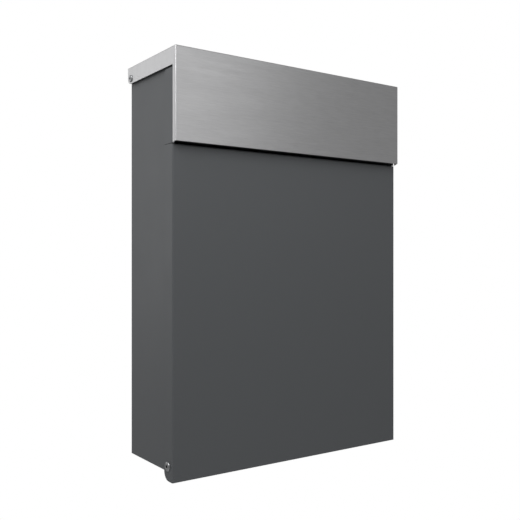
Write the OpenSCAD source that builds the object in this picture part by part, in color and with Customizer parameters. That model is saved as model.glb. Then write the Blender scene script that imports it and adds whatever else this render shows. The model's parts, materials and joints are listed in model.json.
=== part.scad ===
// Wall mounted mailbox: a folded sheet body, a bottom hinged front door, a fixed header
// with a cam lock, and a lid that covers the mail slot, the header and the lock.
// Millimetres. X runs to the right seen from the front, the front faces -Y, Z is up.
// The wall is the plane Y = 0. The origin is the centre of the four wall fixing holes.

/* [Overall] */
// Height from the lower edge of the door to the top of the lid
box_h = 430; // [350:1:600]
// Outer width of the sheet body
body_w = 298.4; // [250:0.2:420]
// Depth of the body from the outside of its back to its front edges
body_d = 98; // [75:0.5:160]

/* [Sheet metal] */
// Thickness of the body, header and door sheet
sheet_t = 1; // [0.8:0.1:2]
// Thickness of the lid sheet
lid_t = 1; // [0.8:0.1:1.6]
// Inside radius of every bend
bend_r = 0.2; // [0.1:0.1:1.2]

/* [Body] */
// Height of the body's lower edge above the door's lower edge
body_rise = 7.6; // [4:0.1:9]
// Free height between the top of the body and the underside of the lid
lid_headroom = 5; // [3:0.5:9]
// Width of the inward returns at the front edges of the body
return_w = 8; // [6:0.5:12]
// Depth of the fold along the top of the back panel
back_fold_d = 10; // [6:0.5:20]
// Height of the floor pan's upstands
pan_h = 12; // [8:0.5:18]
// How far the floor reaches in front of the door pivot
pan_reach = 3.9; // [2:0.1:6]
// Diameter of the drain holes
drain_d = 5; // [3:0.5:8]
// Number of drain holes in each of the two rows
drain_count = 4; // [2:1:6]

/* [Door] */
// Depth of the door's and the header's side flanges
flange_d = 17.4; // [16:0.1:30]
// Radius of the rear lower corner of the door's flanges
ear_r = 9; // [3:0.5:10]
// Outer radius of the bend along the top of the door
door_top_r = 2; // [1.5:0.1:2.5]
// Depth of the fold along the top of the door
door_fold_d = 16; // [10:0.5:20]
// Height of the downturned edge that the lock cam holds
hook_h = 12; // [8:0.5:20]

/* [Lid] */
// Height of the lid's front plate
lid_plate_h = 93.6; // [80:0.2:130]
// Radius of the rear lower corner of the cheeks
cheek_r = 6.5; // [2:0.5:7]
// How much lower the rear edge of the plate's side returns ends
return_drop = 1.7; // [0:0.1:2]
// How far the lid reaches behind the body
lid_tail = 1.7; // [0:0.1:4]
// How far each side of the lid stands out past the door
lid_over = 0.25; // [0:0.05:3]

/* [Header] */
// Radius of the rear upper corner of the header's flanges
header_r = 5; // [2:0.5:8]
// Depth of the fold along the top of the header
header_fold_d = 16; // [8:0.5:24]
// Depth of the fold along the bottom of the header
header_lip_d = 12; // [6:0.5:15]
// Diameter of the welded studs that hold the header
stud_d = 4; // [3:0.5:5]

/* [Pivots] */
// Thread diameter of the door pivot screws
door_screw_d = 5; // [4:0.5:6]
// Head diameter of the door pivot screws
door_head_d = 9.5; // [9.2:0.1:12]
// Thread diameter of the lid pivot screws
lid_screw_d = 4; // [3:0.5:4.5]
// Head diameter of the lid pivot screws
lid_head_d = 7.6; // [7.4:0.1:9]

/* [Lock] */
// Diameter of the lock's threaded barrel
lock_d = 18; // [16:0.5:22]
// Width of the bezel's rim around the barrel
bezel_rim = 2; // [1.5:0.5:4]
// Diameter of the turning plug
plug_d = 12; // [11:0.5:14]
// Lock axis above the top of the door
lock_up = 30; // [24:0.5:40]
// Width of the cam
cam_w = 13; // [12:0.5:18]
// Thickness of the cam
cam_t = 2; // [1.5:0.1:3]

/* [Wall fixing] */
// Distance between the wall fixing holes, side to side
fix_w = 200; // [120:1:260]
// Distance between the wall fixing holes, up and down
fix_h = 240; // [160:1:300]
// Height of the lower wall fixing holes above the door's lower edge
fix_low = 80; // [40:1:120]
// Diameter of the wall fixing holes
fix_d = 6.5; // [4:0.1:8]
// Diameter of the wall spacers
spacer_d = 24; // [16:1:40]

/* [Clearances] */
// Side gap between the body and the flanges around it
flange_gap = 1.95; // [0.8:0.05:3]
// Gap between the front edges of the body and the door panel
front_gap = 2.3; // [1.5:0.1:4]
// Gap between the door's face and the inside of the lid's front plate
lid_stand = 5.5; // [4:0.1:7]
// Gap between the header's face and the side returns of the lid's plate
return_gap = 1; // [0.5:0.1:2]
// Lower edge of the lid above the top of the door
reveal = 2; // [0.4:0.1:4]
// Open gap between the top of the door and the header's lower fold
lip_gap = 2.8; // [1:0.1:4]
// Gap between the lower edges of the lid's cheeks and the header
cheek_gap = 2.2; // [1:0.1:6]
// Seam between the door's flanges and the header's flanges
seam = 0.5; // [0.4:0.1:1.5]
// Radial clearance of the turning fits
run_fit = 0.05; // [0.02:0.01:0.1]
// Clearance between faces that move past each other
slide_gap = 0.3; // [0.3:0.05:0.6]
// Clearance between the lock cam and the edge that it holds
cam_gap = 0.9; // [0.6:0.1:1.5]
// Least clearance between the opening lid and the wall
wall_clear = 1; // [0.3:0.1:3]
// Room between the door pivot's nut and the floor
door_nut_room = 1.4; // [0.1:0.05:3]
// Clearance between the swinging door and the floor's front edge
swing_gap = 0.4; // [0.3:0.05:1]
// Room between the lid pivot's nut and the back
lid_nut_room = 1.35; // [0.2:0.05:3]
// Room between the lid pivot's nut and the fold above it
lid_nut_headroom = 1.85; // [0.5:0.05:3]
// Cover of the cheek's edge over the lip of the lid's bush
cheek_edge = 0.1; // [0.1:0.1:4]

/* [Hidden] */

$fn = 64;
left = -1;
right = 1;
cut = 1;

// Colours
coat = "#494c50";
steel = "#b5b7b9";
bright = "#d0d2d4";
zinc = "#a9adb2";
brass = "#b59a55";
nylon = "#2b2c2e";
rubber = "#1d1e20";

// Widths, each wider than the one before by its named gaps and walls
body_in_w = body_w - 2 * sheet_t;
door_in_w = body_w + 2 * flange_gap;
door_w = door_in_w + 2 * sheet_t;
lid_w = door_w + 2 * lid_over;
lid_in_w = lid_w - 2 * lid_t;
fold_side_gap = 1;
fold_w = body_in_w - 2 * fold_side_gap;

// Pivot fits. A nut is nut_af times the thread across its flats, and nut_h times the thread high
nut_af = 1.6;
nut_h = 0.8;
nut_collar_h = 1.4;
small_af_extra = 0.6;
collar_share = 0.9;
door_nut_af = nut_af * door_screw_d;
lid_nut_af = nut_af * lid_screw_d + small_af_extra;
sleeve_wall = 0.7;
bush_wall = 0.65;
bush_lip = 1.8;
thread_gap = 0.02;
shank_gap = 0.05;
door_sleeve_r = door_screw_d / 2 + shank_gap + sleeve_wall;
door_bush_r = door_sleeve_r + run_fit + bush_wall;
lid_sleeve_r = lid_screw_d / 2 + shank_gap + sleeve_wall;
lid_bush_r = lid_sleeve_r + run_fit + bush_wall;

// The pivots sit where their nuts just clear the sheet around them
door_nut_drop = sheet_t + door_nut_af / sqrt(3) + door_nut_room;
door_pivot_up = body_rise + door_nut_drop;
lid_pivot_in = sheet_t + lid_nut_af / sqrt(3) + lid_nut_room;
lid_pivot_drop = lid_t + lid_headroom + sheet_t + lid_nut_af / sqrt(3) + lid_nut_headroom;
cheek_h = lid_pivot_drop + lid_bush_r + bush_lip + cheek_edge;

// The floor's front edge is the widest thing that the door swings around
door_swing_r = sqrt(pow(door_nut_drop, 2) + pow(pan_reach, 2));
door_pivot_back = door_swing_r + swing_gap + sheet_t;

// The spacers keep the swinging rear edge of the lid off the wall
lid_swing_r = sqrt(pow(lid_pivot_in + lid_tail, 2) + pow(lid_pivot_drop, 2));
spacer_t = ceil(2 * (lid_swing_r - lid_pivot_in + wall_clear)) / 2;

// Depths, as places on Y
back_y = -spacer_t;
body_front_y = back_y - body_d;
door_in_y = body_front_y - front_gap;
door_y = door_in_y - sheet_t;
lid_in_y = door_y - lid_stand;
lid_y = lid_in_y - lid_t;
lid_back_y = back_y + lid_tail;

// Heights, as places on Z
base_z = -fix_low - fix_h / 2;
top_z = base_z + box_h;
body_low_z = base_z + body_rise;
body_top_z = top_z - lid_t - lid_headroom;
plate_low_z = top_z - lid_plate_h;
cheek_low_z = top_z - cheek_h;
door_top_z = plate_low_z - reveal;
header_low_z = door_top_z + seam;
header_top_z = cheek_low_z - cheek_gap;
header_lip_z = door_top_z + lip_gap;
return_end = 4;
return_top_z = door_top_z - return_end;

// Pivots
door_pivot_y = door_y + door_pivot_back;
door_pivot_z = base_z + door_pivot_up;
lid_pivot_y = back_y - lid_pivot_in;
lid_pivot_z = top_z - lid_pivot_drop;

// Header studs and what is on them
stud_back = 11;
stud_up = 17.5;
stud_down = 16.5;
stud_tail = 1.5;
shim_r = 4.5;

// Rubber pieces
bumper_r = 6;
bumper_in = 30;
bumper_up = 9;
buffer_edge = 0.2;
buffer_r = (return_w - sheet_t) / 2 - buffer_edge;
buffer_low = 50;
buffer_down = 30;

// Lock
lock_z = door_top_z + lock_up;
cam_y = door_y + door_fold_d + cam_gap;
cam_back_y = cam_y + cam_t;
bezel_t = 2.5;
bezel_d = lock_d + 2 * bezel_rim;
bezel_y = door_y - bezel_t;
barrel_end_y = cam_y - slide_gap;
flat_share = 0.88;
hole_gap = 0.1;
lock_washer_t = 1;
lock_washer_r = lock_d / 2 + 3;
lock_nut_af = lock_d + 6;
lock_nut_h = 4;
cam_tip_clear = 2;
cam_len = lock_up + hook_h - cam_tip_clear;
cam_square = 7;
cam_screw_r = 2;
cam_screw_len = 7;
cam_screw_head_r = 4;
cam_screw_head_h = 2.4;
cam_washer_r = 5.2;
cam_washer_t = 1;
key_slot = [2.2, 7];
key_depth = 13;
wafer_count = 4;
wafer_pitch = 2.6;
wafer_first = 3.2;
wafer_t = 1;
wafer_gap = 0.05;
wafer_inset = 0.5;
wafer_turn = 36.87;
wafer_size = (plug_d - 2 * wafer_inset) * [sin(wafer_turn), cos(wafer_turn)];
wafer_hole = [2.6, 5.6];

// Floor pan
pan_pivot_gap = 6;
pan_side_end = door_pivot_y + door_nut_af + pan_pivot_gap;
drain_in = 40;
drain_edge = 18;

// Outline with its two corners on the -Y side rounded, from y = 0 back to y = d
module front_rounded(w, d, r) {
    translate([-w / 2, r]) square([w, d - r]);
    translate([-w / 2 + r, 0]) square([w - 2 * r, d]);
    for (side = [left, right]) translate([side * (w / 2 - r), r]) circle(r);
}

// A sheet bent twice into a U that is open towards +Y
module u_outline(w, d, t) {
    difference() {
        front_rounded(w, d, bend_r + t);
        translate([0, t]) front_rounded(w - 2 * t, d, bend_r);
    }
}

// Outline with its one corner at the origin rounded
module corner_rounded(a, b, r) {
    translate([r, 0]) square([a - r, b]);
    translate([0, r]) square([a, b - r]);
    translate([r, r]) circle(r);
}

// A sheet bent once into an L with its outer corner at the origin
module fold_outline(a, b, t, r = bend_r) {
    difference() {
        corner_rounded(a, b, r + t);
        translate([t, t]) corner_rounded(a, b, r);
    }
}

// What rounding takes off a corner at the origin of a shape that lies towards -X and -Y
module corner_waste(r) {
    difference() {
        translate([-r, -r]) square(r + cut);
        translate([-r, -r]) circle(r);
    }
}

// Extrudes an outline drawn in Y and Z along X, centred
module along_x(length) {
    rotate([90, 0, 90]) translate([0, 0, -length / 2]) linear_extrude(length) children();
}

// Turns a piece that points up so that it points out of the given side at a pivot
module at_pivot(side, x, y, z) {
    translate([side * x, y, z]) rotate([0, side * 90, 0]) children();
}

// Turns a piece that points up so that it points out of the front
module at_lock(y) {
    translate([0, y, lock_z]) rotate([90, 0, 0]) children();
}

module tube(outer_r, inner_r, h) {
    difference() {
        cylinder(r = outer_r, h = h);
        translate([0, 0, -cut]) cylinder(r = inner_r, h = h + 2 * cut);
    }
}

// Button head screw with a hexagon socket, its head standing on z = 0
module button_screw(head_d, screw_d, length) {
    head_h = 0.3 * screw_d;
    socket_af = 0.61 * screw_d;
    socket_depth = 0.6 * head_h;
    rim_h = 0.4;
    tip_h = 0.5;
    dome_r = (pow(head_d / 2, 2) + pow(head_h - rim_h, 2)) / (2 * (head_h - rim_h));
    difference() {
        union() {
            intersection() {
                translate([0, 0, head_h - dome_r]) sphere(dome_r);
                cylinder(d = head_d, h = head_h);
            }
            translate([0, 0, tip_h - length]) cylinder(d = screw_d, h = length - tip_h + rim_h);
            translate([0, 0, -length]) cylinder(d1 = screw_d - 2 * tip_h, d2 = screw_d, h = tip_h);
        }
        translate([0, 0, head_h - socket_depth])
            cylinder(d = socket_af / cos(30), h = socket_depth + cut, $fn = 6);
    }
}

// Hexagon nut with a nylon locking collar, standing on z = 0
module lock_collar_nut(af, screw_d) {
    h = nut_h * screw_d;
    difference() {
        union() {
            cylinder(d = af / cos(30), h = h, $fn = 6);
            cylinder(d = collar_share * af, h = h + nut_collar_h);
        }
        translate([0, 0, -cut]) cylinder(d = screw_d + 2 * thread_gap, h = h + nut_collar_h + 2 * cut);
    }
}

// Holes through both sides of the body or of a pair of flanges
module side_holes(y, z, r) {
    translate([0, y, z]) rotate([0, 90, 0]) cylinder(r = r, h = 2 * lid_w, center = true);
}

// The four places of the wall fixing
module at_wall_fixings() {
    for (x = [-fix_w / 2, fix_w / 2], z = [-fix_h / 2, fix_h / 2]) translate([x, 0, z]) children();
}

// The four header studs: both sides, low and high
module at_header_studs(x) {
    for (side = [left, right], z = [header_low_z + stud_up, header_top_z - stud_down])
        at_pivot(side, x, door_y + stud_back, z) children();
}

// Body: back, sides and front returns folded from one sheet
module body_wrap() {
    corner = sheet_t + bend_r;
    color(coat) {
        difference() {
            translate([0, body_front_y, body_low_z]) linear_extrude(body_top_z - body_low_z) difference() {
                union() {
                    front_rounded(body_w, body_d - corner, corner);
                    translate([0, body_d]) mirror([0, 1]) front_rounded(body_w, body_d - corner, corner);
                }
                translate([0, sheet_t]) union() {
                    front_rounded(body_in_w, body_d - 2 * sheet_t - bend_r, bend_r);
                    translate([0, body_d - 2 * sheet_t]) mirror([0, 1])
                        front_rounded(body_in_w, body_d - 2 * sheet_t - bend_r, bend_r);
                }
                translate([-body_in_w / 2 + return_w, -cut]) square([body_in_w - 2 * return_w, sheet_t + 2 * cut]);
            }
            // Above the door the sides end plain, so that the header's folds pass between them
            translate([-body_w / 2 - cut, body_front_y - cut, return_top_z])
                cube([body_w + 2 * cut, corner + cut, body_top_z - return_top_z + cut]);
            // The back's upper edge is folded forwards
            translate([-fold_w / 2, back_y - sheet_t - cut / 2, body_top_z - corner])
                cube([fold_w, sheet_t + cut, corner + cut]);
            at_wall_fixings() translate([0, back_y + cut, 0]) rotate([90, 0, 0])
                cylinder(d = fix_d, h = sheet_t + 2 * cut);
            // Nothing in front of the door pivot is wider than the floor's front edge
            translate([0, door_pivot_y, door_pivot_z]) along_x(body_w + 2 * cut) difference() {
                translate([-door_pivot_back, -door_pivot_up]) square([door_pivot_back, door_pivot_up]);
                circle(door_swing_r);
            }
            side_holes(door_pivot_y, door_pivot_z, door_screw_d / 2 + shank_gap);
            side_holes(lid_pivot_y, lid_pivot_z, lid_screw_d / 2 + shank_gap);
            at_header_studs(body_w / 2 + cut) translate([0, 0, -sheet_t - 2 * cut])
                cylinder(d = stud_d + 2 * shank_gap, h = sheet_t + 3 * cut);
        }
        translate([0, back_y, body_top_z]) along_x(fold_w) rotate(180) fold_outline(back_fold_d, 2 * corner, sheet_t);
    }
}

// Floor pan: a shallow tray with drain holes, spot welded between the sides and the back
module floor_pan() {
    pan_front_y = door_pivot_y - pan_reach;
    pan_back_y = back_y - sheet_t;
    pan_d = pan_back_y - pan_front_y;
    side_d = pan_back_y - bend_r - pan_side_end;
    drain_step = (body_in_w - 2 * drain_in) / (drain_count - 1);
    color(coat) difference() {
        union() {
            translate([0, pan_front_y + pan_d / 2, body_low_z]) along_x(body_in_w - 2 * return_w)
                u_outline(pan_d, pan_h, sheet_t);
            for (side = [left, right]) translate([side * body_in_w / 2, pan_back_y - bend_r, body_low_z])
                rotate([90, 0, 0]) linear_extrude(side_d) mirror([side > 0 ? 1 : 0, 0])
                    fold_outline(return_w + cut, pan_h, sheet_t);
            translate([-body_in_w / 2 + bend_r, pan_front_y, body_low_z])
                cube([body_in_w - 2 * bend_r, pan_d - bend_r, sheet_t]);
        }
        for (i = [0:drain_count - 1], y = [pan_front_y + drain_edge, pan_back_y - drain_edge])
            translate([-body_in_w / 2 + drain_in + i * drain_step, y, body_low_z - cut])
                cylinder(d = drain_d, h = sheet_t + 2 * cut);
    }
}

// Header: the fixed front above the door, with four welded studs and the hole for the lock
module front_header() {
    corner = sheet_t + bend_r;
    stud_len = flange_gap + sheet_t + nut_h * stud_d + nut_collar_h + stud_tail;
    color(coat) {
        difference() {
            translate([0, door_y, header_low_z]) linear_extrude(header_top_z - header_low_z)
                u_outline(door_w, flange_d, sheet_t);
            translate([0, door_y + flange_d, header_top_z]) along_x(door_w + 2 * cut) corner_waste(header_r);
            // The plate stops above the flanges' lower ends and leaves an open reveal over the door
            translate([-door_w / 2 - cut, door_y - cut, header_low_z - cut])
                cube([door_w + 2 * cut, sheet_t + cut, header_lip_z - header_low_z + cut]);
            for (z = [header_low_z - cut, header_top_z - corner])
                translate([-fold_w / 2, door_y - cut, z])
                    cube([fold_w, sheet_t + 2 * cut, z > header_low_z ? corner + cut
                        : header_lip_z + corner - header_low_z + cut]);
            lock_hole(hole_gap);
        }
        translate([0, door_y, header_top_z]) along_x(fold_w) mirror([0, 1])
            fold_outline(header_fold_d, 2 * corner, sheet_t);
        translate([0, door_y, header_lip_z]) along_x(fold_w) fold_outline(header_lip_d, 2 * corner, sheet_t);
        at_header_studs(door_in_w / 2) translate([0, 0, -stud_len]) cylinder(d = stud_d, h = stud_len);
    }
}

// Barrel section of the lock with a flat on each side, which keeps it from turning in its hole
module lock_hole(gap) {
    at_lock(door_y + sheet_t + cut) linear_extrude(sheet_t + 2 * cut) barrel_outline(gap);
}

module barrel_outline(gap) {
    intersection() {
        circle(lock_d / 2 + gap);
        square([flat_share * lock_d + 2 * gap, lock_d + 2 * gap + cut], center = true);
    }
}

// Washers that fill the gap between the header's flanges and the body
module header_shims() {
    color(zinc) at_header_studs(body_w / 2) tube(shim_r, stud_d / 2 + shank_gap, flange_gap);
}

module header_nuts() {
    color(zinc) at_header_studs(body_in_w / 2) mirror([0, 0, 1])
        lock_collar_nut(nut_af * stud_d + small_af_extra, stud_d);
}

module wall_spacers() {
    color(nylon) at_wall_fixings() rotate([90, 0, 0]) tube(spacer_d / 2, fix_d / 2, spacer_t);
}

// Rubber discs on the header that the lid's plate closes on
module lid_bumpers() {
    color(rubber) for (side = [left, right])
        translate([side * (door_w / 2 - bumper_in), door_y, header_lip_z + bumper_up]) rotate([90, 0, 0])
            cylinder(r = bumper_r, h = lid_stand - slide_gap);
}

// Rubber discs on the body's front returns that the door closes on
module door_buffers() {
    x = body_w / 2 - (sheet_t + return_w) / 2;
    color(rubber) for (side = [left, right], z = [body_low_z + buffer_low, return_top_z - buffer_down])
        translate([side * x, body_front_y, z]) rotate([90, 0, 0])
            cylinder(r = buffer_r, h = front_gap - slide_gap);
}

// Door pivots: the screw clamps the sleeve on the body, and the door's bush turns on the sleeve
module door_screw(side) {
    sleeve_h = flange_gap + sheet_t + slide_gap;
    length = sleeve_h + sheet_t + nut_h * door_screw_d + nut_collar_h + stud_tail;
    color(bright) at_pivot(side, body_w / 2 + sleeve_h, door_pivot_y, door_pivot_z)
        button_screw(door_head_d, door_screw_d, length);
}

module door_sleeve(side) {
    color(zinc) at_pivot(side, body_w / 2, door_pivot_y, door_pivot_z)
        tube(door_sleeve_r, door_screw_d / 2 + shank_gap, flange_gap + sheet_t + slide_gap);
}

module door_nut(side) {
    color(zinc) at_pivot(side, body_in_w / 2, door_pivot_y, door_pivot_z) mirror([0, 0, 1])
        lock_collar_nut(door_nut_af, door_screw_d);
}

module door_bush(side) {
    color(nylon) at_pivot(side, body_w / 2 + slide_gap, door_pivot_y, door_pivot_z) {
        tube(door_bush_r, door_sleeve_r + run_fit, flange_gap - slide_gap + sheet_t);
        tube(door_bush_r + bush_lip, door_sleeve_r + run_fit, flange_gap - slide_gap);
    }
}

// Lid pivots, built in the same way
module lid_screw(side) {
    length = (lid_w - body_w) / 2 + slide_gap + sheet_t + nut_h * lid_screw_d + nut_collar_h + stud_tail;
    color(bright) at_pivot(side, lid_w / 2 + slide_gap, lid_pivot_y, lid_pivot_z)
        button_screw(lid_head_d, lid_screw_d, length);
}

module lid_sleeve(side) {
    color(zinc) at_pivot(side, body_w / 2, lid_pivot_y, lid_pivot_z)
        tube(lid_sleeve_r, lid_screw_d / 2 + shank_gap, (lid_w - body_w) / 2 + slide_gap);
}

module lid_nut(side) {
    color(zinc) at_pivot(side, body_in_w / 2, lid_pivot_y, lid_pivot_z) mirror([0, 0, 1])
        lock_collar_nut(lid_nut_af, lid_screw_d);
}

module lid_bush(side) {
    lip_h = (lid_in_w - body_w) / 2 - slide_gap;
    color(nylon) at_pivot(side, body_w / 2 + slide_gap, lid_pivot_y, lid_pivot_z) {
        tube(lid_bush_r, lid_sleeve_r + run_fit, lip_h + lid_t);
        tube(lid_bush_r + bush_lip, lid_sleeve_r + run_fit, lip_h);
    }
}

// Door: panel and flanges folded from one sheet, with a hooked top edge
module door_panel() {
    corner = sheet_t + bend_r;
    hook_y = door_y + door_fold_d;
    top_in_r = door_top_r - sheet_t;
    top_land = 0.4;
    color(coat) {
        difference() {
            translate([0, door_y, base_z]) linear_extrude(door_top_z - base_z)
                u_outline(door_w, flange_d, sheet_t);
            translate([0, door_y + flange_d, base_z]) along_x(door_w + 2 * cut) mirror([0, 1])
                corner_waste(ear_r);
            translate([0, door_y, door_top_z]) along_x(door_w + 2 * cut) mirror([1, 0])
                corner_waste(door_top_r);
            side_holes(door_pivot_y, door_pivot_z, door_bush_r);
        }
        // The bend along the top runs into both flanges, and the fold behind it passes between the body's sides
        translate([0, door_y, door_top_z]) mirror([0, 0, 1]) {
            along_x(door_in_w) fold_outline(door_top_r + top_land, 2 * door_top_r, sheet_t, top_in_r);
            along_x(fold_w) fold_outline(door_fold_d - corner, 2 * door_top_r, sheet_t, top_in_r);
        }
        translate([0, hook_y, door_top_z]) along_x(fold_w - 2 * return_w) rotate(180)
            fold_outline(2 * corner, hook_h, sheet_t);
    }
}

// Lid: top, front plate, cheeks and narrow side returns folded from one sheet
module lid_cover() {
    lid_d = lid_back_y - lid_y;
    deep = lid_plate_h + return_drop;
    side_return_y = door_y - return_gap;
    color(steel) difference() {
        lid_block(lid_w, lid_d, deep, bend_r + lid_t);
        translate([0, lid_t, -lid_t]) lid_block(lid_in_w, lid_d, deep, bend_r);
        // Open below the cheeks, behind the plate and its side returns
        along_x(lid_w + 2 * cut) polygon([
            [lid_y - cut, plate_low_z], [lid_in_y, plate_low_z],
            [side_return_y, plate_low_z - return_drop], [side_return_y, cheek_low_z],
            [lid_back_y + cut, cheek_low_z], [lid_back_y + cut, plate_low_z - return_drop - cut],
            [lid_y - cut, plate_low_z - return_drop - cut]
        ]);
        translate([0, lid_back_y, cheek_low_z]) along_x(lid_w + 2 * cut) mirror([0, 1]) corner_waste(cheek_r);
        side_holes(lid_pivot_y, lid_pivot_z, lid_bush_r);
    }
}

// Solid block under the lid's top with its front and upper edges rounded
module lid_block(w, d, h, r) {
    intersection() {
        translate([0, lid_y, top_z - h]) linear_extrude(h) front_rounded(w, d, r);
        translate([0, lid_y, top_z]) along_x(w + cut) mirror([0, 1]) corner_rounded(d, h, r);
        translate([0, lid_y + d, top_z]) rotate([90, 0, 0]) linear_extrude(d) mirror([0, 1])
            front_rounded(w, h, r);
    }
}

// Lock housing: bezel and barrel around the plug
module lock_housing() {
    bezel_edge = 0.6;
    color(bright) difference() {
        union() {
            at_lock(barrel_end_y) linear_extrude(barrel_end_y - door_y) barrel_outline(0);
            at_lock(door_y) cylinder(d = bezel_d, h = bezel_t - bezel_edge);
            at_lock(bezel_y + bezel_edge)
                cylinder(d1 = bezel_d, d2 = bezel_d - 2 * bezel_edge, h = bezel_edge);
        }
        at_lock(barrel_end_y + cut) cylinder(r = plug_d / 2 + run_fit, h = barrel_end_y - bezel_y + 2 * cut);
    }
}

module lock_washer() {
    color(zinc) at_lock(door_in_y + lock_washer_t) tube(lock_washer_r, lock_d / 2 + hole_gap, lock_washer_t);
}

module lock_nut() {
    nut_y = door_in_y + lock_washer_t + lock_nut_h;
    color(zinc) at_lock(nut_y) difference() {
        cylinder(d = lock_nut_af / cos(30), h = lock_nut_h, $fn = 6);
        translate([0, 0, -cut]) cylinder(r = lock_d / 2 + thread_gap, h = lock_nut_h + 2 * cut);
    }
}

// The wafers' slots and the wafers, from the same places
module at_wafers() {
    for (i = [0:wafer_count - 1]) translate([0, bezel_y + wafer_first + i * wafer_pitch, lock_z]) children();
}

module lock_plug() {
    color(bright) difference() {
        union() {
            at_lock(cam_y) cylinder(d = plug_d, h = cam_y - bezel_y);
            translate([0, cam_y + cam_t / 2, lock_z]) cube([cam_square, cam_t, cam_square], center = true);
        }
        translate([-key_slot[0] / 2, bezel_y - cut, lock_z - key_slot[1] / 2])
            cube([key_slot[0], key_depth + cut, key_slot[1]]);
        at_wafers() cube([wafer_size[0], wafer_t, wafer_size[1]] + 2 * wafer_gap * [1, 1, 1], center = true);
        at_lock(cam_back_y + cut) cylinder(r = cam_screw_r + thread_gap, h = cam_screw_len + cut);
    }
}

// Spring wafers of the plug, each with its window for the key
module lock_wafers() {
    color(brass) at_wafers() difference() {
        cube([wafer_size[0], wafer_t, wafer_size[1]], center = true);
        cube([wafer_hole[0], wafer_t + cut, wafer_hole[1]], center = true);
    }
}

// Cam: points to the right when unlocked and down when locked
module lock_cam() {
    square_gap = 0.05;
    color(zinc) at_lock(cam_back_y) linear_extrude(cam_t) difference() {
        union() {
            circle(d = cam_w);
            translate([0, -cam_w / 2]) square([cam_len - cam_w / 2, cam_w]);
            translate([cam_len - cam_w / 2, 0]) circle(d = cam_w);
        }
        square(cam_square + 2 * square_gap, center = true);
    }
}

module cam_washer() {
    color(zinc) at_lock(cam_back_y + cam_washer_t) tube(cam_washer_r, cam_screw_r + shank_gap, cam_washer_t);
}

module cam_screw() {
    tip_gap = 1;
    shank = cam_screw_len + cam_washer_t - tip_gap;
    slot = [1, 1.2 * cam_screw_head_r, 1];
    color(zinc) translate([0, cam_back_y + cam_washer_t, lock_z]) rotate([-90, 0, 0]) difference() {
        union() {
            cylinder(r = cam_screw_head_r, h = cam_screw_head_h);
            translate([0, 0, -shank]) cylinder(r = cam_screw_r, h = shank + cam_screw_head_h - slot[2]);
        }
        for (turn = [0, 90]) rotate(turn) translate([-slot[0] / 2, -slot[1] / 2, cam_screw_head_h - slot[2]])
            cube(slot + [0, 0, cut]);
    }
}

body_wrap();
floor_pan();
front_header();
header_shims();
header_nuts();
wall_spacers();
lid_bumpers();
door_buffers();
door_screw(left);  // door_screw_left
door_screw(right);  // door_screw_right
door_sleeve(left);  // door_sleeve_left
door_sleeve(right);  // door_sleeve_right
door_nut(left);  // door_nut_left
door_nut(right);  // door_nut_right
lid_screw(left);  // lid_screw_left
lid_screw(right);  // lid_screw_right
lid_sleeve(left);  // lid_sleeve_left
lid_sleeve(right);  // lid_sleeve_right
lid_nut(left);  // lid_nut_left
lid_nut(right);  // lid_nut_right
lock_housing();
lock_washer();
lock_nut();
lock_plug();
lock_wafers();
lock_cam();
cam_washer();
cam_screw();
door_panel();
door_bush(left);  // door_bush_left
door_bush(right);  // door_bush_right
lid_cover();
lid_bush(left);  // lid_bush_left
lid_bush(right);  // lid_bush_right
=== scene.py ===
"""Looks for the wall mounted mailbox: finishes, small turned and threaded pieces, camera and studio."""

import json
from math import cos, pi, radians, sin, sqrt

import bmesh
import bpy
from mathutils import Matrix, Vector


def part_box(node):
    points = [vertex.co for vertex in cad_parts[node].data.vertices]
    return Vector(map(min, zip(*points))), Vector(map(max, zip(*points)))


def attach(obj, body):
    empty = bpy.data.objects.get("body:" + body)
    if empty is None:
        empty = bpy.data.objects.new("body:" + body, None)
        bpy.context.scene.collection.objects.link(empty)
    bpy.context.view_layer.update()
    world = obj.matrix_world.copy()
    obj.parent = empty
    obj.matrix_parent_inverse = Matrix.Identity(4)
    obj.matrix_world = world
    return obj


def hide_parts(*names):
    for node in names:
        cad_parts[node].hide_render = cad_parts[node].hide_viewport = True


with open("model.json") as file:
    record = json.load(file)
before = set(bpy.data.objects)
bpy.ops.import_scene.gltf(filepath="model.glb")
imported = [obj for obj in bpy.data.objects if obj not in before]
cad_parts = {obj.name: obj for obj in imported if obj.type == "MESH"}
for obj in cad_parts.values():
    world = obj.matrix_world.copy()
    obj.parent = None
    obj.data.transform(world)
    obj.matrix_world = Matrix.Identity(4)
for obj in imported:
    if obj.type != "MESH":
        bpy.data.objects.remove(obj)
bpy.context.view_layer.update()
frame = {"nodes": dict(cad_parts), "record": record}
scene = bpy.context.scene
MM = 0.001


# Camera: level, at the front left, as high as the middle of the box
camera_data = bpy.data.cameras.new("camera")
camera_data.sensor_width = 36
camera_data.lens = 49.91
camera_data.clip_start = 0.01
camera = bpy.data.objects.new("camera", camera_data)
camera.location = (-0.48593, -0.74118, 0.01952)
camera.rotation_euler = (radians(90), 0, radians(-34.8495))
scene.collection.objects.link(camera)
scene.camera = camera


# Materials
def linear(hex_colour):
    """An sRGB hex colour as linear RGBA."""
    parts = [int(hex_colour[i:i + 2], 16) / 255 for i in (1, 3, 5)]
    return [c / 12.92 if c <= 0.04045 else ((c + 0.055) / 1.055) ** 2.4 for c in parts] + [1]


def add(tree, kind, settings=None, links=None):
    """Adds a node. A setting is an attribute of it, or the value of the input of that name or number."""
    node = tree.nodes.new(kind)
    for name, value in (settings or {}).items():
        if isinstance(name, str) and hasattr(node, name):
            setattr(node, name, value)
        else:
            node.inputs[name].default_value = value
    for name, source in (links or {}).items():
        tree.links.new(source, node.inputs[name])
    return node


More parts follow.
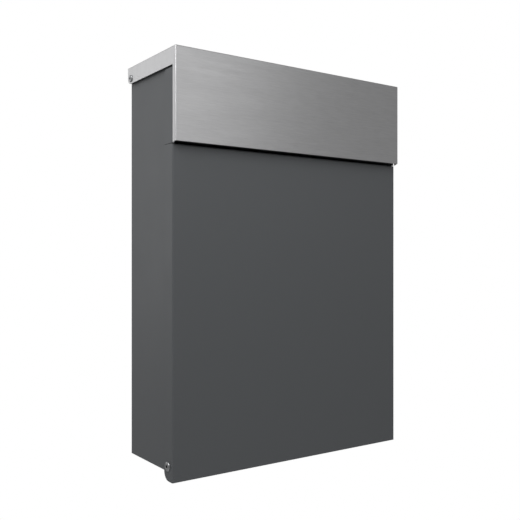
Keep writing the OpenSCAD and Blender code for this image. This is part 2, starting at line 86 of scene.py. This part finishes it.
def start(name, settings):
    """A new material with its surface shader: the tree and the shader."""
    material = bpy.data.materials.new(name)
    material.use_nodes = True
    tree = material.node_tree
    tree.nodes.clear()
    shader = add(tree, "ShaderNodeBsdfPrincipled", settings)
    add(tree, "ShaderNodeOutputMaterial", None, {"Surface": shader.outputs[0]})
    return material, tree, shader


def per_mm(size):
    """Texture scale that makes one feature this many millimetres wide."""
    return 1000 / size


def powder_coat():
    # Fine-texture anthracite polyester powder coat, baked on steel sheet. The grains melt into low bumps that
    # spread each reflection into a soft matt sheen, with a faint long wave where the film is thicker.
    # Real grains are about 0.3 mm; they are drawn 0.8 mm wide so that they show.
    material, tree, shader = start("powder_coated_steel", {"Roughness": 0.5, "Specular IOR Level": 0.3})
    place = add(tree, "ShaderNodeTexCoord").outputs["Object"]
    grains = add(tree, "ShaderNodeTexNoise", {"Scale": per_mm(0.8), "Detail": 2, "Roughness": 0.6},
                 {"Vector": place})
    wave = add(tree, "ShaderNodeTexNoise", {"Scale": per_mm(9), "Detail": 1}, {"Vector": place})
    cloud = add(tree, "ShaderNodeTexNoise", {"Scale": per_mm(60), "Detail": 3}, {"Vector": place})
    tone = add(tree, "ShaderNodeMixRGB", {"Color1": linear("#4d4f51"), "Color2": linear("#515355")},
               {"Fac": grains.outputs[0]})
    gloss = add(tree, "ShaderNodeMapRange", {"To Min": 0.44, "To Max": 0.56}, {"Value": cloud.outputs[0]})
    low = add(tree, "ShaderNodeBump", {"Strength": 0.3, "Distance": 0.03 * MM}, {"Height": wave.outputs[0]})
    bumps = add(tree, "ShaderNodeBump", {"Strength": 0.35, "Distance": 0.05 * MM},
                {"Height": grains.outputs[0], "Normal": low.outputs[0]})
    tree.links.new(tone.outputs[0], shader.inputs["Base Color"])
    tree.links.new(gloss.outputs[0], shader.inputs["Roughness"])
    tree.links.new(bumps.outputs[0], shader.inputs["Normal"])
    return material


def brushed_stainless():
    # Brushed stainless sheet, belt-ground along the box's width before it was folded, so the strokes run
    # along X on the plate and the top, and up and down on the cheeks. Each reflection stretches across them.
    # Real strokes are about 0.1 mm wide; the finest here are 0.5 mm so that they show.
    material, tree, shader = start("brushed_stainless_steel", {
        "Metallic": 1, "Roughness": 0.34, "Anisotropic": 0.75, "Base Color": linear("#c3c4c6")})
    seen = add(tree, "ShaderNodeTexCoord")
    side = add(tree, "ShaderNodeSeparateXYZ", None, {0: seen.outputs["Normal"]})
    width = add(tree, "ShaderNodeMath", {"operation": "ABSOLUTE"}, {0: side.outputs["X"]})
    cheek = add(tree, "ShaderNodeMath", {"operation": "GREATER_THAN", 1: 0.7}, {0: width.outputs[0]})
    strokes = []
    for long, wide in ((12, 0.5), (16, 1.3), (90, 9)):
        run, gap = per_mm(long), per_mm(wide)
        across = add(tree, "ShaderNodeVectorMath", {"operation": "MULTIPLY", 1: (run, gap, gap)},
                     {0: seen.outputs["Object"]})
        upright = add(tree, "ShaderNodeVectorMath", {"operation": "MULTIPLY", 1: (gap, gap, run)},
                      {0: seen.outputs["Object"]})
        place = add(tree, "ShaderNodeMix", {"data_type": "VECTOR"},
                    {0: cheek.outputs[0], 4: across.outputs[0], 5: upright.outputs[0]})
        strokes.append(add(tree, "ShaderNodeTexNoise", {"Scale": 1, "Detail": 2, "Roughness": 0.6},
                           {"Vector": place.outputs[1]}))
    fine, mid, broad = [s.outputs[0] for s in strokes]
    both = add(tree, "ShaderNodeMath", {"operation": "MULTIPLY_ADD", 1: 0.6}, {0: mid, 2: fine})
    tone = add(tree, "ShaderNodeMapRange", {"From Min": 0.5, "From Max": 1.1, "To Min": 0, "To Max": 1},
               {"Value": both.outputs[0]})
    colour = add(tree, "ShaderNodeMixRGB", {"Color1": linear("#bcbcbd"), "Color2": linear("#cacacb")},
                 {"Fac": tone.outputs[0]})
    streaked = add(tree, "ShaderNodeMapRange", {"To Min": 0.27, "To Max": 0.41}, {"Value": mid})
    gloss = add(tree, "ShaderNodeMath", {"operation": "MULTIPLY_ADD", 1: 0.12},
                {0: broad, 2: streaked.outputs[0]})
    bumps = add(tree, "ShaderNodeBump", {"Strength": 0.3, "Distance": 0.02 * MM}, {"Height": both.outputs[0]})
    along = add(tree, "ShaderNodeMix", {"data_type": "VECTOR", 4: (1, 0, 0), 5: (0, 0, 1)},
                {0: cheek.outputs[0]})
    over = add(tree, "ShaderNodeVectorMath", {"operation": "CROSS_PRODUCT"},
               {0: seen.outputs["Normal"], 1: along.outputs[1]})
    tangent = add(tree, "ShaderNodeVectorTransform",
                  {"vector_type": "VECTOR", "convert_from": "OBJECT", "convert_to": "WORLD"},
                  {0: over.outputs[0]})
    tree.links.new(colour.outputs[0], shader.inputs["Base Color"])
    tree.links.new(gloss.outputs[0], shader.inputs["Roughness"])
    tree.links.new(bumps.outputs[0], shader.inputs["Normal"])
    tree.links.new(tangent.outputs[0], shader.inputs["Tangent"])
    return material


def metal(name, dark, light, rough, grain, height):
    """A small part's metal: tone and gloss wander with a grain of the given size in mm."""
    material, tree, shader = start(name, {"Metallic": 1, "Roughness": rough})
    place = add(tree, "ShaderNodeTexCoord").outputs["Object"]
    noise = add(tree, "ShaderNodeTexNoise", {"Scale": per_mm(grain), "Detail": 3, "Roughness": 0.6},
                {"Vector": place})
    tone = add(tree, "ShaderNodeMixRGB", {"Color1": linear(dark), "Color2": linear(light)},
               {"Fac": noise.outputs[0]})
    gloss = add(tree, "ShaderNodeMapRange", {"To Min": rough * 0.8, "To Max": rough * 1.25},
                {"Value": noise.outputs[0]})
    bumps = add(tree, "ShaderNodeBump", {"Strength": 0.2, "Distance": height * MM},
                {"Height": noise.outputs[0]})
    tree.links.new(tone.outputs[0], shader.inputs["Base Color"])
    tree.links.new(gloss.outputs[0], shader.inputs["Roughness"])
    tree.links.new(bumps.outputs[0], shader.inputs["Normal"])
    return material


def moulding(name, dark, light, rough, grain, height):
    """A moulded polymer: a spark-eroded grain of the given size in mm."""
    material, tree, shader = start(name, {"Roughness": rough})
    place = add(tree, "ShaderNodeTexCoord").outputs["Object"]
    noise = add(tree, "ShaderNodeTexNoise", {"Scale": per_mm(grain), "Detail": 2}, {"Vector": place})
    tone = add(tree, "ShaderNodeMixRGB", {"Color1": linear(dark), "Color2": linear(light)},
               {"Fac": noise.outputs[0]})
    bumps = add(tree, "ShaderNodeBump", {"Strength": 0.3, "Distance": height * MM},
                {"Height": noise.outputs[0]})
    tree.links.new(tone.outputs[0], shader.inputs["Base Color"])
    tree.links.new(bumps.outputs[0], shader.inputs["Normal"])
    return material


finishes = {
    "anthracite_coat": powder_coat(),
    "lid_stainless": brushed_stainless(),
    # Stainless screw socket, punched into the head: its colour is painted shade, nearly black and darker than the
    # steel, so that the recess reads as shadowed
    "screw_socket": metal("broached_socket_painted_shade", "#2b2b2c", "#3a3a3b", 0.5, 0.8, 0.02),
    # Stainless screws, cold-headed with a rolled thread: mid grey with soft round highlights
    "screw_stainless": metal("turned_stainless_steel", "#8f9092", "#a6a7a8", 0.36, 1.2, 0.01),
    # Bright zinc plate, barrel-plated on pressed steel: pale bluish silver, slightly uneven
    "zinc_plate": metal("zinc_plated_steel", "#a9aeb3", "#c2c6ca", 0.3, 1.8, 0.012),
    # Chrome plate, polished and plated on die-cast zinc: clear mirror with almost no grain
    "lock_chrome": metal("chrome_plated_zinc", "#d5d6d8", "#e2e3e4", 0.12, 2.5, 0.004),
    # Brass strip, stamped and left bare: warm yellow with fine rolling marks
    "wafer_brass": metal("stamped_brass", "#b8964c", "#cfb069", 0.32, 1, 0.01),
    # Nylon, injection moulded in an eroded tool: near black with a satin grain
    "nylon_black": moulding("moulded_nylon", "#232426", "#2c2d2f", 0.42, 0.6, 0.02),
    # Rubber, compression moulded: matt near black
    "rubber_black": moulding("moulded_rubber", "#191a1b", "#232324", 0.7, 0.5, 0.03),
}
for part in frame["record"]["subparts"]:
    node = frame["nodes"][part["node"]]
    node.data.materials.clear()
    node.data.materials.append(finishes[part["material_slot"]])


# Turned, threaded and moulded pieces that stand for plain CAD nodes. Every outline is (radius, height) in mm.
SEGMENTS = 48
SHARP = radians(32)
LEFT, RIGHT = -1, 1
OUT_FRONT = Matrix.Rotation(radians(90), 4, "X")
OUT_REAR = Matrix.Rotation(radians(-90), 4, "X")


def out_side(side):
    return Matrix.Rotation(radians(90) * side, 4, "Y")


def middle(node):
    low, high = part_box(node)
    return [(low[i] + high[i]) / 2 for i in range(3)]


def corners(node, radius, y):
    """The middles of a node's four equal round pieces, or two where they stand in one row."""
    low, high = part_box(node)
    r = radius * MM
    one_row = high[2] - low[2] < 3 * r
    heights = [(low[2] + high[2]) / 2] if one_row else [low[2] + r, high[2] - r]
    return [(x, y, z) for x in (low[0] + r, high[0] - r) for z in heights]


def turned(outline, closed=False):
    """Spins an outline about Z into a closed shape."""
    shape = bmesh.new()
    points = [shape.verts.new((r * MM, 0, h * MM)) for r, h in outline]
    lines = [shape.edges.new(pair) for pair in zip(points, points[1:] + points[:1] * closed)]
    bmesh.ops.spin(shape, geom=points + lines, cent=(0, 0, 0), axis=(0, 0, 1), angle=2 * pi, steps=SEGMENTS,
                   use_merge=True)
    bmesh.ops.remove_doubles(shape, verts=shape.verts, dist=0.001 * MM)
    return shape


def thread(radius, pitch, top, bottom):
    """Outline of a 60 degree thread, as rings a pitch apart."""
    depth = 0.54 * pitch
    count = int((top - bottom) / pitch)
    points = []
    for i in range(count):
        h = top - i * pitch
        points += [(radius, h), (radius, h - 0.12 * pitch), (radius - depth, h - 0.5 * pitch),
                   (radius - depth, h - 0.62 * pitch)]
    return points + [(radius, top - count * pitch)]


def close(shape, name, nodes, slot, body, turn, places, inner=()):
    """Sets a copy at each place, finishes the mesh and makes it a piece that stands for the CAD nodes."""
    bmesh.ops.recalc_face_normals(shape, faces=shape.faces)
    bmesh.ops.transform(shape, matrix=turn, verts=shape.verts)
    first = shape.verts[:] + shape.edges[:] + shape.faces[:]
    for place in places[1:]:
        copy = bmesh.ops.duplicate(shape, geom=first)["geom"]
        bmesh.ops.translate(shape, vec=Vector(place) - Vector(places[0]),
                            verts=[part for part in copy if isinstance(part, bmesh.types.BMVert)])
    bmesh.ops.translate(shape, vec=places[0], verts=shape.verts)
    for face in shape.faces:
        face.smooth = True
    for edge in shape.edges:
        edge.smooth = edge.calc_face_angle(pi) < SHARP
    mesh = bpy.data.meshes.new(name)
    shape.to_mesh(mesh)
    shape.free()
    for finish in (slot, *inner):
        mesh.materials.append(finishes[finish])
    piece = bpy.data.objects.new(name, mesh)
    scene.collection.objects.link(piece)
    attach(piece, body)
    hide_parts(*nodes)
    return piece


HEAD_SHARE = 0.3  # a screw head's height over the screw's diameter
SOCKET_SHARE = 0.61  # a socket's width across flats over the screw's diameter
COLLAR_H = 1.4  # height of a locking nut's nylon collar


def button_screw(head_d, screw_d, pitch, length):
    """Low button head screw with a hexagon socket, its head standing on z = 0."""
    head_h = HEAD_SHARE * screw_d
    rim_h = 0.4
    soft = 0.1
    socket_r = SOCKET_SHARE * screw_d / sqrt(3)
    socket_depth = 1.6 * head_h
    mouth_r = socket_r + 0.15
    crown_r = 0.62 * head_d / 2
    fall_r = head_d / 2 - soft - crown_r
    steps = 8
    turns = [pi / 2 * i / steps for i in range(steps + 1)]
    fall_h = head_h - rim_h
    dome = [(mouth_r, head_h)] + [(crown_r + fall_r * sin(t), rim_h + fall_h * cos(t)) for t in turns]
    neck = -1.5 * pitch
    rim = [(head_d / 2, rim_h - soft), (head_d / 2, soft), (head_d / 2 - soft, 0), (screw_d / 2, 0)]
    outline = dome + rim
    outline += thread(screw_d / 2, pitch, neck, -length + 1) + [(screw_d / 2 - 0.5, -length), (0, -length)]
    shape = turned(outline)
    mouth = [edge for edge in shape.edges if edge.is_boundary]
    socket = bmesh.ops.create_circle(shape, segments=6, radius=socket_r * MM)["verts"]
    bmesh.ops.translate(shape, vec=(0, 0, (dome[0][1] - 0.12) * MM), verts=socket)
    ring = list({edge for vert in socket for edge in vert.link_edges})
    bmesh.ops.bridge_loops(shape, edges=mouth + ring)
    wall = bmesh.ops.extrude_edge_only(shape, edges=ring)["geom"]
    floor_verts = [part for part in wall if isinstance(part, bmesh.types.BMVert)]
    bmesh.ops.translate(shape, vec=(0, 0, -socket_depth * MM), verts=floor_verts)
    bmesh.ops.holes_fill(shape, edges=[edge for edge in shape.edges if edge.is_boundary])
    # The socket's walls and floor take the second slot, whose nearly black colour is painted shade
    for face in {face for vert in floor_verts for face in vert.link_faces}:
        face.material_index = 1
    return shape


def hexagon_nut(flats, height, bore_r, collar_h=0):
    """Nut turned with a chamfer, then milled to six flats. With a collar it is a locking nut."""
    corner_r = flats / sqrt(3)
    face_r = 0.95 * flats / 2
    drop = (corner_r - face_r) / sqrt(3)
    top = [(face_r, height), (bore_r + 0.4, height)]
    if collar_h:
        collar_r = 0.9 * flats / 2
        top = [(face_r, height), (collar_r, height), (collar_r, height + 0.55 * collar_h),
               (collar_r - 0.25, height + 0.85 * collar_h), (collar_r - 0.7, height + collar_h),
               (bore_r + 0.3, height + collar_h)]
    base = [(bore_r, 0.4), (bore_r + 0.4, 0), (face_r, 0), (corner_r, drop), (corner_r, height - drop)]
    outline = base + top
    shape = turned(outline + [(bore_r, outline[-1][1] - 0.3)], closed=True)
    for i in range(6):
        flat = Matrix.Rotation(radians(30 + 60 * i), 3, "Z") @ Vector((1, 0, 0))
        bmesh.ops.bisect_plane(shape, geom=shape.verts[:] + shape.edges[:] + shape.faces[:],
                               plane_co=flat * (flats / 2 * MM), plane_no=flat, clear_outer=True, dist=1e-7)
        bmesh.ops.holes_fill(shape, edges=[e for e in shape.edges if e.is_boundary])
    return shape


for side, end in ((LEFT, "left"), (RIGHT, "right")):
    for pivot, head_d, screw_d, pitch in (("door", 9.5, 5, 0.8), ("lid", 7.6, 4, 0.7)):
        node = pivot + "_screw_" + end
        low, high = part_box(node)
        _, y, z = middle(node)
        head_h = HEAD_SHARE * screw_d
        base = (high[0] if side > 0 else low[0]) - side * head_h * MM
        shape = button_screw(head_d, screw_d, pitch, (high[0] - low[0]) / MM - head_h)
        close(shape, pivot + "_button_screw_" + end, [node], "screw_stainless", "casing", out_side(side),
              [(base, y, z)], ["screw_socket"])
    for pivot, flats, height, bore_r in (("door", 8, 4, 2.52), ("lid", 7, 3.2, 2.02)):
        node = pivot + "_nut_" + end
        low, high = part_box(node)
        _, y, z = middle(node)
        base = high[0] if side > 0 else low[0]
        nut = hexagon_nut(flats, height, bore_r, COLLAR_H)
        close(nut, pivot + "_locking_nut_" + end, [node], "zinc_plate", "casing", out_side(-side), [(base, y, z)])
    low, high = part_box("header_nuts")
    base = high[0] if side > 0 else low[0]
    _, y, _ = middle("header_nuts")
    reach = 7 / sqrt(3) * MM
    close(hexagon_nut(7, 3.2, 2.02, COLLAR_H), "header_locking_nuts_" + end, ["header_nuts"], "zinc_plate",
          "casing", out_side(-side), [(base, y, z) for z in (low[2] + reach, high[2] - reach)])

low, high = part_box("lock_nut")
x, _, z = middle("lock_nut")
close(hexagon_nut(24, 4, 9.02), "lock_ring_nut", ["lock_nut"], "zinc_plate", "casing", OUT_REAR,
      [(x, low[1], z)])

low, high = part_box("lock_housing")
x, _, z = middle("lock_housing")
bezel_h = 2.5
barrel = (high[1] - low[1]) / MM - bezel_h
bezel = [(6.05, -barrel), (6.05, 2.2), (6.3, 2.45), (6.6, bezel_h), (8.4, bezel_h), (8.6, 2.3), (8.9, 2.3),
         (9.1, bezel_h), (9.8, 2.42), (10.4, 2.15), (10.8, 1.7), (11, 1.1), (11, 0.25), (10.8, 0), (9, 0)]
close(turned(bezel + thread(9, 1, -1.2, 1 - barrel) + [(8.5, -barrel)], closed=True), "lock_bezel_and_barrel",
      ["lock_housing"], "lock_chrome", "casing", OUT_FRONT, [(x, low[1] + bezel_h * MM, z)])

spacer = [(3.25, 0.3), (3.55, 0), (11.3, 0), (11.8, 0.2), (12, 0.7), (12, 4.3), (11.4, 4.6), (11.4, 5.4),
          (12, 5.7), (12, 9.3), (11.8, 9.8), (11.3, 10), (8.6, 10), (8.4, 9.4), (6.2, 9.4), (6, 10),
          (3.55, 10), (3.25, 9.7)]
close(turned(spacer, closed=True), "moulded_wall_spacers", ["wall_spacers"], "nylon_black", "casing",
      OUT_FRONT, corners("wall_spacers", 12, 0))

bumper = [(0, 0), (6, 0), (6, 0.5), (5.8, 3.1), (5.5, 4.2), (4.9, 4.9), (4.1, 5.2), (2.2, 5.2), (1.8, 5.05),
          (1.5, 4.7), (0, 4.6)]
close(turned(bumper), "lid_rubber_bumpers", ["lid_bumpers"], "rubber_black", "casing", OUT_FRONT,
      corners("lid_bumpers", 6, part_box("lid_bumpers")[1][1]))

buffer_pad = [(0, 0), (3.3, 0), (3.3, 0.7), (3.15, 1.3), (2.8, 1.75), (2.2, 2), (0, 2)]
close(turned(buffer_pad), "door_rubber_buffers", ["door_buffers"], "rubber_black", "casing", OUT_FRONT,
      corners("door_buffers", 3.3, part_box("door_buffers")[1][1]))


# Studio: an even sky and three large soft boxes, all aimed at the middle of the object
WORLD_LIGHT = 0.32
world = bpy.data.worlds.new("studio")
scene.world = world
world.use_nodes = True
tree = world.node_tree
tree.nodes.clear()
plain = add(tree, "ShaderNodeBackground", {"Color": (1, 1, 1, 1), "Strength": 1})
dim = add(tree, "ShaderNodeBackground", {"Color": (1, 1, 1, 1), "Strength": WORLD_LIGHT})
looked_at = add(tree, "ShaderNodeLightPath")
sky = add(tree, "ShaderNodeMixShader", None,
          {0: looked_at.outputs["Is Camera Ray"], 1: dim.outputs[0], 2: plain.outputs[0]})
add(tree, "ShaderNodeOutputWorld", None, {"Surface": sky.outputs[0]})
scene.view_settings.view_transform = "Standard"

SOFTBOXES = (
    # name, place, size in metres, power in watts
    ("left_box", (-1.4, 1.6, 0.4), 1.4, 7),
    ("front_box", (0.6, -2, 0.9), 1.2, 5),
    ("overhead_box", (-0.6, -0.6, 0.9), 0.8, 14),
)
for name, place, size, power in SOFTBOXES:
    light = bpy.data.lights.new(name, "AREA")
    light.shape = "SQUARE"
    light.size = size
    light.energy = power
    holder = bpy.data.objects.new(name, light)
    holder.location = place
    holder.rotation_euler = (-Vector(place)).to_track_quat("-Z", "Y").to_euler()
    scene.collection.objects.link(holder)

FLOOR_DROP = 1.1
material, tree, shader = start("studio_floor", {"Base Color": linear("#f4f4f4"), "Roughness": 0.9})
looked_at = add(tree, "ShaderNodeLightPath")
glow = add(tree, "ShaderNodeEmission", {"Strength": 1})
blank = add(tree, "ShaderNodeMixShader", None,
            {0: looked_at.outputs["Is Camera Ray"], 1: shader.outputs[0], 2: glow.outputs[0]})
output = next(node for node in tree.nodes if node.type == "OUTPUT_MATERIAL")
tree.links.new(blank.outputs[0], output.inputs["Surface"])
floor_mesh = bpy.data.meshes.new("floor")
sheet = bmesh.new()
bmesh.ops.create_grid(sheet, x_segments=1, y_segments=1, size=30)
bmesh.ops.translate(sheet, verts=sheet.verts, vec=(0, 0, -FLOOR_DROP))
sheet.to_mesh(floor_mesh)
sheet.free()
floor_mesh.materials.append(material)
floor = bpy.data.objects.new("floor", floor_mesh)
scene.collection.objects.link(floor)
